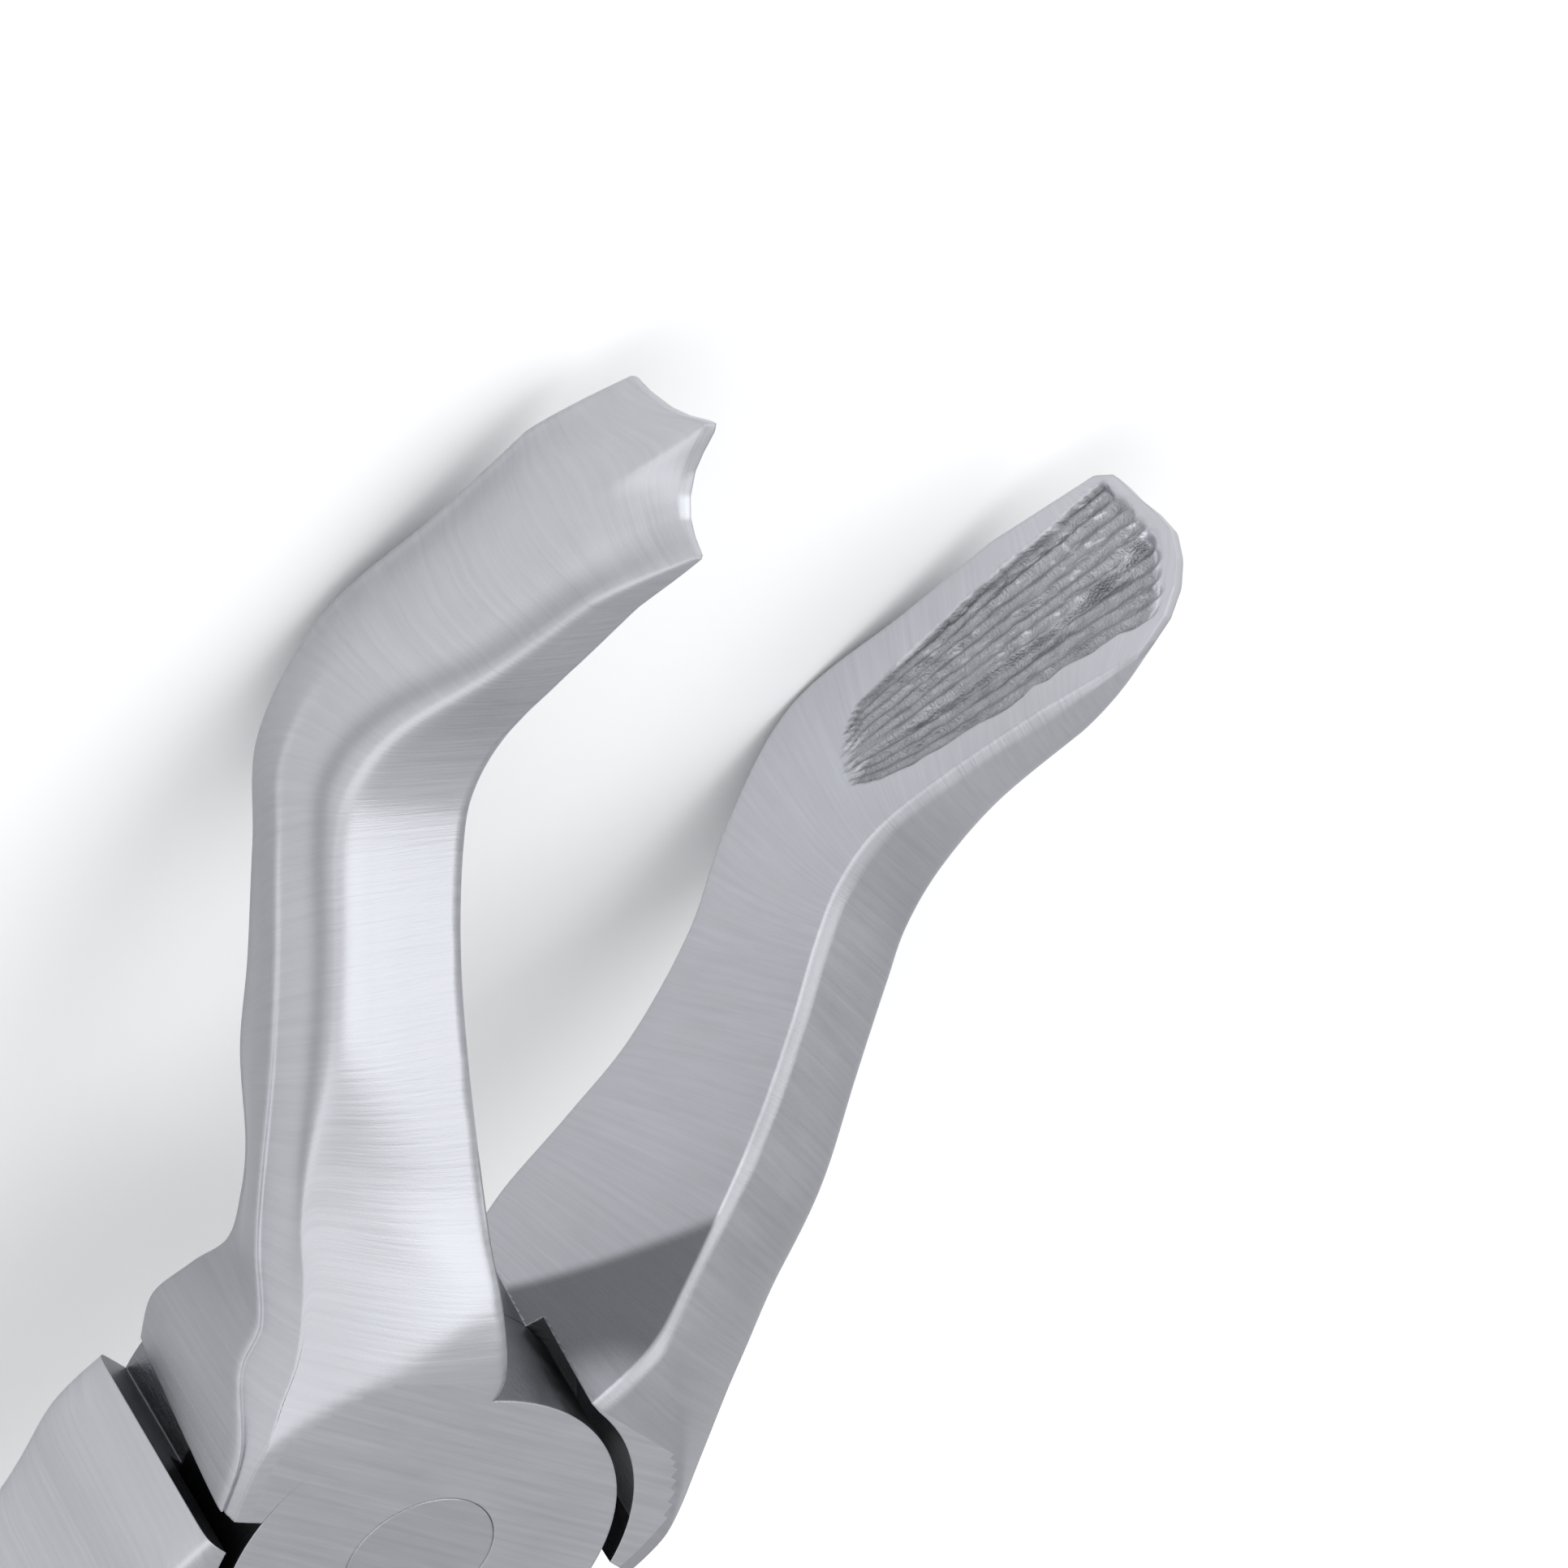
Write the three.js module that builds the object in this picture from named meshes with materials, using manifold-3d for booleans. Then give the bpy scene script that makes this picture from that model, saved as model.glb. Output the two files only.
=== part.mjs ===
// Extraction forceps for upper molars: two forged halves that cross in a lap joint and turn on one flush rivet.
// Millimetres, +Z up. The beaks point along +Y, the handles along -Y, and the forceps lies on the XY plane.
//
// Each half is first built closed, with its beak on the +X side and its handle on the -X side, around a pivot
// at the origin and with the visible joint face at z = 0. The front half is then mirrored, both halves are
// turned open, and the whole is moved to stand on z = 0.

import * as THREE from "three";
import { mergeVertices } from "three/addons/utils/BufferGeometryUtils.js";
import Module from "manifold-3d";

const wasm = await Module();
wasm.setup();

// ---- driving dimensions ----

const openAngle = THREE.MathUtils.degToRad(13); // each half is turned out this far from closed
const jointThickness = 9.5;
const lapGap = 0.06; // running gap between the two lap faces
const lobeRadius = 7.45; // round plate of each half
const recessRadius = 8.1; // round wall that the other half's plate turns in
const earRadius = 8.75; // widest point of the joint, over the ears
const rivetHeadRadius = 2.8;
const rivetShaftRadius = 2.2;
const rivetHeadDepth = 0.9;
const rivetClearance = 0.03;
const hollowReach = 2.6; // how far the trough in each beak reaches from the middle plane
const hollowLength = 15;
const hollowWidth = 5.4;
const ringPoints = 28; // points around one section of a beak
const handleRingPoints = 20;

// Beak and shank, closed. Each row is one section across the bar:
// front edge y and z, back edge y and z, gap from the middle plane, thickness, and how rounded the outside is.
const shankSections = [
  [3.0, 0.0, 3.0, -9.5, 0.25, 8.2, 0.0],
  [7.9, 0.0, 5.8, -9.5, 0.25, 6.9, 0.1],
  [10.7, -1.4, 7.4, -10.2, 1.25, 5.4, 0.5],
  [12.8, -2.9, 9.0, -11.3, 2.0, 4.9, 0.8],
  [16.9, -6.2, 11.9, -12.7, 3.1, 4.4, 1.0],
  [20.0, -9.0, 15.0, -13.8, 3.6, 4.5, 1.0],
  [22.7, -11.4, 18.7, -15.6, 3.65, 4.6, 1.0],
  [24.4, -12.5, 21.9, -18.0, 3.6, 4.8, 1.0],
  [26.7, -12.9, 26.2, -19.6, 3.3, 4.6, 1.0],
  [30.0, -12.3, 31.5, -18.95, 2.8, 3.9, 1.0],
  [33.7, -11.3, 35.5, -18.35, 2.2, 3.0, 1.0],
  [38.0, -10.2, 39.8, -17.7, 1.8, 1.9, 1.0],
  [42.0, -9.2, 43.8, -16.8, 1.4, 1.0, 1.0],
];

// Handle, closed. Each row: y, inner and outer distance from the middle plane, top z, bottom z.
const handleSections = [
  [-3.4, 0.3, 8.4, 0.0, -9.5],
  [-6.0, 0.3, 8.2, 0.0, -9.5],
  [-10.0, 0.4, 6.7, -0.2, -9.3],
  [-17.0, 1.0, 6.3, -0.7, -8.9],
  [-30.0, 3.2, 9.4, -1.0, -9.4],
  [-50.0, 5.4, 12.8, -1.9, -10.9],
  [-75.0, 6.0, 13.8, -3.9, -13.1],
  [-100.0, 5.2, 12.6, -7.0, -15.9],
  [-117.0, 4.4, 11.4, -9.9, -18.5],
  [-126.0, 4.3, 11.2, -11.6, -19.7],
];
const handleEndLength = 2.4;

// ---- small helpers ----

const steel = (name, color, roughness) =>
  new THREE.MeshStandardMaterial({ name, color, metalness: 1, roughness });

// Cubic curve through the rows of a table, at a place counted in rows.
function rowAt(rows, place) {
  const i = Math.min(Math.floor(place), rows.length - 2);
  const t = place - i;
  const before = rows[Math.max(i - 1, 0)];
  const after = rows[Math.min(i + 2, rows.length - 1)];
  return rows[i].map((a, k) => {
    const b = rows[i + 1][k];
    const slopeA = (b - before[k]) / 2;
    const slopeB = (after[k] - a) / 2;
    const cubic = (2 * t ** 3 - 3 * t ** 2 + 1) * a + (t ** 3 - 2 * t ** 2 + t) * slopeA;
    return cubic + (3 * t ** 2 - 2 * t ** 3) * b + (t ** 3 - t ** 2) * slopeB;
  });
}

// Closed solid through rings of equal length, capped at both ends.
function loftGeometry(rings, capOutline) {
  const count = rings[0].length;
  const positions = rings.flat().flatMap((p) => [p.x, p.y, p.z]);
  const index = [];
  for (let r = 0; r < rings.length - 1; r += 1) {
    for (let i = 0; i < count; i += 1) {
      const a = r * count + i;
      const b = r * count + ((i + 1) % count);
      index.push(a, b, a + count, b, b + count, a + count);
    }
  }
  const last = (rings.length - 1) * count;
  const turn = Math.sign(THREE.ShapeUtils.area(capOutline));
  for (const [i, p, q] of THREE.ShapeUtils.triangulateShape(capOutline.slice(), [])) {
    const along = THREE.ShapeUtils.area([capOutline[i], capOutline[p], capOutline[q]]) * turn > 0;
    const [j, k] = along ? [p, q] : [q, p];
    index.push(i, k, j, last + i, last + j, last + k);
  }
  const geometry = new THREE.BufferGeometry();
  geometry.setAttribute("position", new THREE.Float32BufferAttribute(positions, 3));
  geometry.setIndex(index);
  return geometry;
}

function toSolid(geometry) {
  const bare = geometry.clone();
  bare.deleteAttribute("normal");
  bare.deleteAttribute("uv");
  const merged = mergeVertices(bare, 1e-4);
  const mesh = new wasm.Mesh({
    numProp: 3,
    vertProperties: new Float32Array(merged.attributes.position.array),
    triVerts: new Uint32Array(merged.index.array),
  });
  return new wasm.Manifold(mesh);
}

function toGeometry(solid) {
  const mesh = solid.getMesh();
  const geometry = new THREE.BufferGeometry();
  geometry.setAttribute("position", new THREE.Float32BufferAttribute(mesh.vertProperties, 3));
  geometry.setIndex(new THREE.Uint32BufferAttribute(mesh.triVerts, 1));
  return geometry;
}

// Upright cylinder about the pivot between two heights.
function disc(radius, bottom, top, segments = 96) {
  const geometry = new THREE.CylinderGeometry(radius, radius, top - bottom, segments);
  geometry.rotateX(Math.PI / 2);
  geometry.translate(0, 0, (top + bottom) / 2);
  return toSolid(geometry);
}

// Upright plate from an outline in the XY plane.
function plate(outline, bottom, top) {
  const geometry = new THREE.ExtrudeGeometry(outline, { depth: top - bottom, bevelEnabled: false, curveSegments: 10 });
  geometry.translate(0, 0, bottom);
  return toSolid(geometry);
}

// Bar along X from an outline drawn in the YZ plane, for shaping a beak tip.
function sideBar(outline, length = 30) {
  const geometry = new THREE.ExtrudeGeometry(outline, { depth: length, bevelEnabled: false, curveSegments: 10 });
  const turn = new THREE.Matrix4().makeBasis(
    new THREE.Vector3(0, 1, 0),
    new THREE.Vector3(0, 0, 1),
    new THREE.Vector3(1, 0, 0),
  );
  geometry.applyMatrix4(turn);
  geometry.translate(-length / 3, 0, 0);
  return toSolid(geometry);
}

// ---- beak and shank ----

// Section of the bar as (outward, back) pairs: flat inside, flat front, a shallow valley along the outside and
// a rounded back lobe.
function shankOutline(depth, thick, round, valleyAt) {
  const corner = Math.min(0.2 + 1.5 * round, thick * 0.6);
  const lobe = Math.min(0.2 + 1.4 * round, thick * 0.8);
  const dip = 0.08 * round * thick;
  const swell = 0.26 * round * thick;
  const points = [new THREE.Vector2(0, depth), new THREE.Vector2(0, 0)];
  const frontSteps = 6;
  for (let i = 0; i <= frontSteps; i += 1) {
    const a = (i / frontSteps) * (Math.PI / 2);
    points.push(new THREE.Vector2(thick - corner + corner * Math.sin(a), corner * (1 - Math.cos(a))));
  }
  const lobeStart = depth - lobe;
  const sideSteps = 8;
  for (let i = 1; i < sideSteps; i += 1) {
    const t = i / sideSteps;
    const back = corner + t * (lobeStart - corner);
    const away = (back / depth - valleyAt) / 0.16;
    points.push(new THREE.Vector2(thick + swell * t * t - dip * Math.exp(-away * away), back));
  }
  const lobeSteps = ringPoints - points.length - 1;
  for (let i = 0; i <= lobeSteps; i += 1) {
    const a = (i / lobeSteps) * (Math.PI / 2);
    const outward = thick + swell - lobe * (1 - Math.cos(a));
    points.push(new THREE.Vector2(outward, lobeStart + lobe * Math.sin(a)));
  }
  return points;
}

// The valley runs down the middle of the shank, behind the elbow, and out to the front corner of the tip.
function valleyPlace(y) {
  const intoElbow = THREE.MathUtils.smoothstep(y, 16, 22);
  const outToTip = THREE.MathUtils.smoothstep(y, 23, 36);
  return 0.43 + 0.2 * intoElbow - 0.42 * outToTip;
}

function shankLoft() {
  const rings = [];
  const stepsPerRow = 3;
  let outline;
  for (let s = 0; s <= (shankSections.length - 1) * stepsPerRow; s += 1) {
    const [frontY, frontZ, backY, backZ, gap, thick, round] = rowAt(shankSections, s / stepsPerRow);
    const depth = Math.hypot(backY - frontY, backZ - frontZ);
    outline = shankOutline(depth, thick, Math.max(round, 0), valleyPlace(frontY));
    const ring = outline.map((p) => {
      const t = p.y / depth;
      const y = frontY + (backY - frontY) * t;
      const z = frontZ + (backZ - frontZ) * t;
      return new THREE.Vector3(gap + p.x, y, z);
    });
    rings.push(ring);
  }
  return toSolid(loftGeometry(rings, outline));
}

// Round-ended blade: everything past this outline is cut away.
function roundTipOutline() {
  const shape = new THREE.Shape();
  shape.moveTo(0, -30);
  shape.lineTo(0, 5);
  shape.lineTo(30, 5);
  shape.lineTo(37.2, -10.0);
  shape.bezierCurveTo(40.2, -10.2, 41.7, -11.8, 41.6, -13.6);
  shape.bezierCurveTo(41.5, -15.6, 41.0, -17.4, 39.6, -18.6);
  shape.lineTo(37.0, -30);
  return shape;
}

// Blade with a middle point between two scallops, which goes between the roots of a molar.
function pointedTipOutline() {
  const shape = new THREE.Shape();
  shape.moveTo(0, -30);
  shape.lineTo(0, 5);
  shape.lineTo(36, 5);
  shape.lineTo(37.3, -10.4);
  shape.quadraticCurveTo(37.9, -13.0, 41.5, -13.4);
  shape.quadraticCurveTo(39.4, -15.6, 38.6, -18.4);
  shape.lineTo(38.4, -30);
  return shape;
}

// Shallow trough in the inner face of a beak, from just past the elbow almost to the tip.
function beakHollow() {
  const trough = new THREE.SphereGeometry(1, 40, 24);
  trough.scale(hollowReach, hollowLength / 2, hollowWidth / 2);
  trough.rotateX(THREE.MathUtils.degToRad(14));
  trough.translate(0.5, 34.4, -14.4);
  return toSolid(trough);
}

// ---- joint ----

// Ear outline: the full-thickness root of the shank beside the round plate.
function earOutline(endAngle) {
  const shape = new THREE.Shape();
  const end = (radius) => [radius * Math.cos(endAngle), radius * Math.sin(endAngle)];
  shape.moveTo(0.25, 0);
  shape.lineTo(0.25, 7.9);
  shape.lineTo(6.0, 8.6);
  shape.quadraticCurveTo(7.0, 6.6, 7.7, 5.2);
  shape.quadraticCurveTo(8.6, 3.6, ...end(earRadius));
  shape.lineTo(...end(6));
  return shape;
}

// ---- handle ----

function handleRing(y, inner, outer, top, bottom, square) {
  const ring = [];
  for (let i = 0; i < handleRingPoints; i += 1) {
    const a = (i / handleRingPoints) * Math.PI * 2 + Math.PI / handleRingPoints;
    const bulge = (v) => Math.sign(v) * Math.abs(v) ** square;
    const x = -(inner + outer) / 2 + ((outer - inner) / 2) * bulge(Math.cos(a));
    const z = (top + bottom) / 2 + ((top - bottom) / 2) * bulge(Math.sin(a));
    ring.push(new THREE.Vector3(x, y, z));
  }
  return ring;
}

function handleLoft() {
  const rings = [];
  const stepsPerRow = 3;
  const lastRow = handleSections.length - 1;
  for (let s = 0; s <= lastRow * stepsPerRow; s += 1) {
    const [y, inner, outer, top, bottom] = rowAt(handleSections, s / stepsPerRow);
    const square = 0.12 + 0.4 * THREE.MathUtils.smoothstep(-y, 8, 20);
    rings.push(handleRing(y, inner, outer, top, bottom, square));
  }
  const [endY, inner, outer, top, bottom] = handleSections[lastRow];
  for (const a of [25, 50, 72]) {
    const angle = THREE.MathUtils.degToRad(a);
    const shrink = Math.cos(angle);
    const middle = (inner + outer) / 2;
    const height = (top + bottom) / 2;
    rings.push(
      handleRing(
        endY - handleEndLength * Math.sin(angle),
        middle - (middle - inner) * shrink,
        middle + (outer - middle) * shrink,
        height + (top - height) * shrink,
        height - (height - bottom) * shrink,
        0.52,
      ),
    );
  }
  const cap = rings[0].map((p) => new THREE.Vector2(p.x, p.z));
  return toSolid(loftGeometry(rings, cap));
}

// ---- one half ----

// plateOnTop is true for the half whose round plate shows on the upper face.
function halfSolid({ plateOnTop, earEnd, tipOutline }) {
  const middle = -jointThickness / 2;
  const ownBottom = plateOnTop ? middle + lapGap / 2 : -jointThickness;
  const ownTop = plateOnTop ? 0 : middle - lapGap / 2;
  const otherBottom = plateOnTop ? -jointThickness - 1 : middle - lapGap / 2;
  const otherTop = plateOnTop ? middle + lapGap / 2 : 1;

  const beak = shankLoft().intersect(sideBar(tipOutline)).subtract(beakHollow());
  const ear = plate(earOutline(earEnd), -jointThickness, 0);
  return beak
    .add(ear)
    .add(handleLoft())
    .subtract(disc(recessRadius, otherBottom, otherTop))
    .add(disc(lobeRadius, ownBottom, ownTop))
    .subtract(toSolid(rivetGeometry(rivetClearance)));
}

// ---- rivet ----

// Shaft with a countersunk head ground flush at each face. The clearance grows it sideways to make its bore.
function rivetGeometry(clearance = 0) {
  const end = clearance > 0 ? 0.5 : 0;
  const head = rivetHeadRadius + clearance;
  const shaft = rivetShaftRadius + clearance;
  const profile = [
    [0, end],
    [head, end],
    [head, -0.15],
    [shaft, -rivetHeadDepth],
    [shaft, rivetHeadDepth - jointThickness],
    [head, 0.15 - jointThickness],
    [head, -jointThickness - end],
    [0, -jointThickness - end],
  ];
  const points = profile.map(([r, z]) => new THREE.Vector2(r, z)).reverse();
  const geometry = new THREE.LatheGeometry(points, 72);
  geometry.rotateX(Math.PI / 2);
  return geometry;
}

// ---- assembly ----

function mirrored(geometry) {
  geometry.scale(-1, 1, 1);
  const index = geometry.index.array;
  for (let i = 0; i < index.length; i += 3) {
    [index[i], index[i + 1]] = [index[i + 1], index[i]];
  }
  return geometry;
}

const rearGeometry = toGeometry(
  halfSolid({
    plateOnTop: false,
    earEnd: THREE.MathUtils.degToRad(27),
    tipOutline: roundTipOutline(),
  }),
);
rearGeometry.rotateZ(-openAngle);

const frontGeometry = mirrored(
  toGeometry(
    halfSolid({
      plateOnTop: true,
      earEnd: THREE.MathUtils.degToRad(10),
      tipOutline: pointedTipOutline(),
    }),
  ),
);
frontGeometry.rotateZ(openAngle);

const pieces = [
  ["front_half", frontGeometry, steel("satin_steel", 0xc4c6cc, 0.34)],
  ["rear_half", rearGeometry, steel("satin_steel", 0xc4c6cc, 0.34)],
  ["pivot_rivet", toGeometry(toSolid(rivetGeometry())), steel("rivet_steel", 0xb8bac0, 0.3)],
];

const group = new THREE.Group();
group.name = "extraction_forceps";
const bounds = new THREE.Box3();
for (const [, geometry] of pieces) {
  geometry.computeBoundingBox();
  bounds.union(geometry.boundingBox);
}
const centre = bounds.getCenter(new THREE.Vector3());
for (const [name, geometry, material] of pieces) {
  geometry.translate(-centre.x, -centre.y, -bounds.min.z);
  geometry.computeVertexNormals();
  const mesh = new THREE.Mesh(geometry, material);
  mesh.name = name;
  group.add(mesh);
}

export default group;
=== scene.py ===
"""Looks of the extraction forceps: two satin steel halves, their toothed beaks, the lap joint and its rivet.

Each half is shaped closed, in millimetres, with the pivot at the origin, the visible joint face at z = 0,
the beak at +Y and +X and the handle at -Y and -X. The front half is mirrored, then both are turned open.
"""

import math

import bmesh
import bpy
import numpy as np
from mathutils import Matrix, Vector


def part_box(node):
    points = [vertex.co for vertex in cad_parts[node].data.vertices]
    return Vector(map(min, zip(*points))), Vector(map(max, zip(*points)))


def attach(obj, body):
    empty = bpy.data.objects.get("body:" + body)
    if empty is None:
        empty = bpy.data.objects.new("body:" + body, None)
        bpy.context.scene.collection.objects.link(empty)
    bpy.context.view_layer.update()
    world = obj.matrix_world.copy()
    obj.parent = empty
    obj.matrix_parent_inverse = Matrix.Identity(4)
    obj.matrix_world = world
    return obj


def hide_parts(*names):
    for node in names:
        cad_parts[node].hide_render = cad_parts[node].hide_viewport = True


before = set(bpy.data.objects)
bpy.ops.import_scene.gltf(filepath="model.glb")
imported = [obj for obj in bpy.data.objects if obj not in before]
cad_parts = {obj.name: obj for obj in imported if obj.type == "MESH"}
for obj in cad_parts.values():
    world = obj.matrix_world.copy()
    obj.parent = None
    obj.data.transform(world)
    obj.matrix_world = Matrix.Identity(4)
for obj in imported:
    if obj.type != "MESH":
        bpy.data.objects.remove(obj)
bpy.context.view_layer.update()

MM = 0.001
OPEN_ANGLE = math.radians(13)
JOINT_THICKNESS = 9.5
LAP_GAP = 0.06
LOBE_RADIUS = 7.45
REAR_RECESS_RADIUS = 8.1
FRONT_RECESS_RADIUS = 7.75
RIVET_HEAD_RADIUS = 2.8
RIVET_SHAFT_RADIUS = 2.2
RIVET_RIM = 0.15
RIVET_HEAD_DEPTH = 0.9
RIVET_CLEARANCE = 0.03
CUT_OVERRUN = 0.5
SHANK_LENGTH = 46
STATION_STEP = 0.2
TIP_RINGS = 41
EDGE_WIDTH = 0.46
EDGE_DEPTH = 0.3
# How much painted shade, with a little roughness, goes on the flank, the valley's groove and the rear half's
# front, and how much painted highlight on the inner face.
FLANK_PAINTED_SHADE = 0.42
GROOVE_PAINTED_SHADE = 0.5
REAR_FRONT_PAINTED_SHADE = 0.4
INNER_PAINTED_HIGHLIGHT = 0.32

rivet_low, rivet_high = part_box("pivot_rivet")
PIVOT = Vector(((rivet_low.x + rivet_high.x) / 2, (rivet_low.y + rivet_high.y) / 2, rivet_high.z))


# ---- camera ----


def make_camera():
    """Very long lens, close on the joint and the beaks, rolled so that the beaks point up the picture."""
    right = Vector((0.697, 0.587, 0.412)).normalized()
    back = Vector((-0.692, 0.401, 0.6)).normalized()
    up = back.cross(right).normalized()
    right = up.cross(back)
    seen_width = 53.67 * MM
    lens = 1200.0
    sensor_width = 36.0
    distance = seen_width * lens / sensor_width
    right_of_pivot = 12.53
    above_pivot = 26.53
    in_front_of_pivot = 3.0
    target = PIVOT + (right_of_pivot * right + above_pivot * up + in_front_of_pivot * back) * MM
    data = bpy.data.cameras.new("camera")
    data.lens = lens
    data.sensor_width = sensor_width
    data.clip_start = 0.1
    data.clip_end = 60.0
    camera = bpy.data.objects.new("camera", data)
    turn = Matrix((right, up, back)).transposed().to_4x4()
    camera.matrix_world = Matrix.Translation(target + back * distance) @ turn
    bpy.context.scene.collection.objects.link(camera)
    bpy.context.scene.camera = camera


make_camera()


# ---- numbers along curves ----

NOISE_CELLS = 64


def smoothstep(x, low, high):
    """0 below low, 1 above high, with an even rise between them."""
    t = np.clip((x - low) / (high - low), 0, 1)
    return t * t * (3 - 2 * t)


def rows_at(rows, place):
    """Cubic curve through the rows of a table, at places counted in rows."""
    rows = np.asarray(rows, float)
    place = np.asarray(place, float)
    i = np.minimum(np.floor(place).astype(int), len(rows) - 2)
    t = (place - i)[:, None]
    before = rows[np.maximum(i - 1, 0)]
    a = rows[i]
    b = rows[i + 1]
    after = rows[np.minimum(i + 2, len(rows) - 1)]
    slope_a = (b - before) / 2
    slope_b = (after - a) / 2
    value = (2 * t**3 - 3 * t**2 + 1) * a + (t**3 - 2 * t**2 + t) * slope_a
    return value + (3 * t**2 - 2 * t**3) * b + (t**3 - t**2) * slope_b


def along_table(table, place):
    """Straight lines through a table of (place, value) pairs."""
    points = np.array(table)
    return np.interp(place, points[:, 0], points[:, 1])


def smooth_noise(x, y, seed):
    """Soft random field of about -1 to 1, one bump per unit, that repeats after NOISE_CELLS units."""
    grid = np.random.default_rng(seed).uniform(-1, 1, (NOISE_CELLS, NOISE_CELLS))
    xi = np.floor(x).astype(int)
    yi = np.floor(y).astype(int)
    fx = x - xi
    fy = y - yi
    fx = fx * fx * (3 - 2 * fx)
    fy = fy * fy * (3 - 2 * fy)
    a = grid[xi % NOISE_CELLS, yi % NOISE_CELLS]
    b = grid[(xi + 1) % NOISE_CELLS, yi % NOISE_CELLS]
    c = grid[xi % NOISE_CELLS, (yi + 1) % NOISE_CELLS]
    d = grid[(xi + 1) % NOISE_CELLS, (yi + 1) % NOISE_CELLS]
    return (a * (1 - fx) + b * fx) * (1 - fy) + (c * (1 - fx) + d * fx) * fy


# ---- shank and beak ----

# One section across the bar per row: front edge y and z, back edge y and z, gap from the middle plane,
# then valley, crest and back corner as distances outward, the first two each with its share of the depth.
SHANK_ROWS = [
    # front        back          gap   valley      crest       back
    [1.4, 0.0, 1.4, -9.5, 0.25, 8.3, 0.04, 8.5, 0.08, 7.6],
    [3.9, 0.0, 3.5, -9.5, 0.25, 8.6, 0.05, 8.8, 0.11, 8.15],
    [6.2, 0.0, 4.9, -9.5, 0.25, 8.25, 0.16, 8.6, 0.34, 7.4],
    [8.2, 0.0, 6.1, -9.5, 0.3, 7.55, 0.25, 7.8, 0.46, 6.4],
    [10.7, -0.9, 7.5, -10.2, 1.2, 6.4, 0.37, 6.7, 0.60, 5.3],
    [12.8, -2.6, 9.0, -11.3, 2.0, 5.95, 0.32, 6.25, 0.56, 4.5],
    [16.9, -6.15, 11.9, -12.7, 3.1, 5.2, 0.25, 5.55, 0.51, 4.4],
    [20.0, -9.0, 15.0, -13.8, 3.6, 4.8, 0.26, 5.25, 0.55, 4.6],
    [22.7, -11.4, 18.7, -15.6, 3.65, 4.95, 0.31, 5.4, 0.63, 5.3],
    [24.4, -12.5, 21.9, -18.0, 3.6, 4.85, 0.35, 5.35, 0.70, 5.5],
    [26.7, -12.9, 26.2, -19.8, 3.3, 4.4, 0.26, 5.0, 0.64, 4.5],
    [30.0, -12.3, 31.5, -19.15, 2.8, 3.2, 0.14, 4.2, 0.56, 3.3],
    [34.0, -11.2, 35.7, -18.5, 2.2, 2.45, 0.10, 3.4, 0.5, 2.5],
]
# The front half differs a little. Per row: how much higher its front and back edge lie, then its own
# valley and crest.
EDGE_HEIGHTS = [1, 3]
VALLEY_AND_CREST = slice(5, 9)
FRONT_HALF_ROWS = [
    [0.0, 0.0, 8.3, 0.04, 8.5, 0.08],
    [0.0, 0.0, 8.6, 0.05, 8.8, 0.11],
    [0.0, 0.0, 8.45, 0.12, 8.75, 0.31],
    [0.0, 0.0, 8.1, 0.17, 8.35, 0.38],
    [0.0, 0.0, 7.3, 0.24, 7.6, 0.47],
    [0.0, 0.0, 6.85, 0.186, 7.15, 0.426],
    [0.0, 0.0, 5.9, 0.13, 6.2, 0.40],
    [0.0, 0.0, 5.4, 0.137, 5.8, 0.437],
    [0.0, 0.0, 5.5, 0.176, 5.9, 0.51],
    [0.2, 0.05, 5.35, 0.23, 5.8, 0.59],
    [0.4, 0.4, 4.75, 0.18, 5.1, 0.62],
    [0.4, 0.42, 3.3, 0.13, 4.15, 0.56],
    [0.12, 0.12, 2.45, 0.10, 3.4, 0.5],
]
CONE_RADIUS = 9.9
CONE_SLOPE = 0.85
BEAK_RISE = math.radians(14.5)

# How far each tip runs past the last row, at shares of the depth from the front edge to the back edge.
ROUND_TIP = [
    (0.0, 4.2), (0.05, 4.9), (0.126, 5.75), (0.25, 6.45), (0.384, 6.8), (0.53, 6.88),
    (0.66, 6.5), (0.777, 6.0), (0.87, 5.7), (0.946, 5.4), (1.0, 4.6),
]
POINTED_TIP = [
    (0.0, 3.4), (0.12, 3.37), (0.21, 3.48), (0.30, 3.85), (0.38, 4.55),
    (0.42, 5.3), (0.455, 6.2), (0.48, 6.42), (0.52, 6.15), (0.62, 5.3),
    (0.73, 4.56), (0.887, 3.8), (1.0, 3.4),
]

# One ring of points: the inner face, the rounded edge, the flat front, the outside, then the flat back.
INNER_POINTS = 150
EDGE_POINTS = 3
FLAT_POINTS = 7
OUTER_POINTS = 90
FIRST_OUTER = INNER_POINTS + EDGE_POINTS + FLAT_POINTS
OUTSIDE = slice(FIRST_OUTER, FIRST_OUTER + OUTER_POINTS)

# Outline of the toothed hollow. Low and high: distance along the beak from the elbow, then distance across
# it. End: distance across, then along. Ridge: distance along, then share of the way from low to high.
ELBOW_Y = 26.7
ELBOW_Z = -12.95
ALONG = (0.97, 0.25)
ACROSS = (0.24, -0.97)
HOLLOW_LOW = [(-0.9, 2.3), (0.5, 1.75), (2.4, 1.45), (6.0, 1.22), (9.1, 1.3), (12.9, 1.1)]
HOLLOW_HIGH = [(-0.9, 3.9), (0.4, 5.0), (2.9, 5.6), (6.1, 6.15), (9.2, 6.6), (12.3, 7.15)]
HOLLOW_END = [(0.6, 12.3), (1.1, 12.9), (1.9, 13.6), (3.2, 13.95), (4.0, 13.9), (5.6, 13.15), (7.2, 12.3)]
HOLLOW_RIDGE = [(3.0, 0.40), (4.7, 0.385), (8.5, 0.356), (11.7, 0.454), (13.9, 0.60)]
HOLLOW_START = -0.8
GOUGES = 9.3
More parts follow.
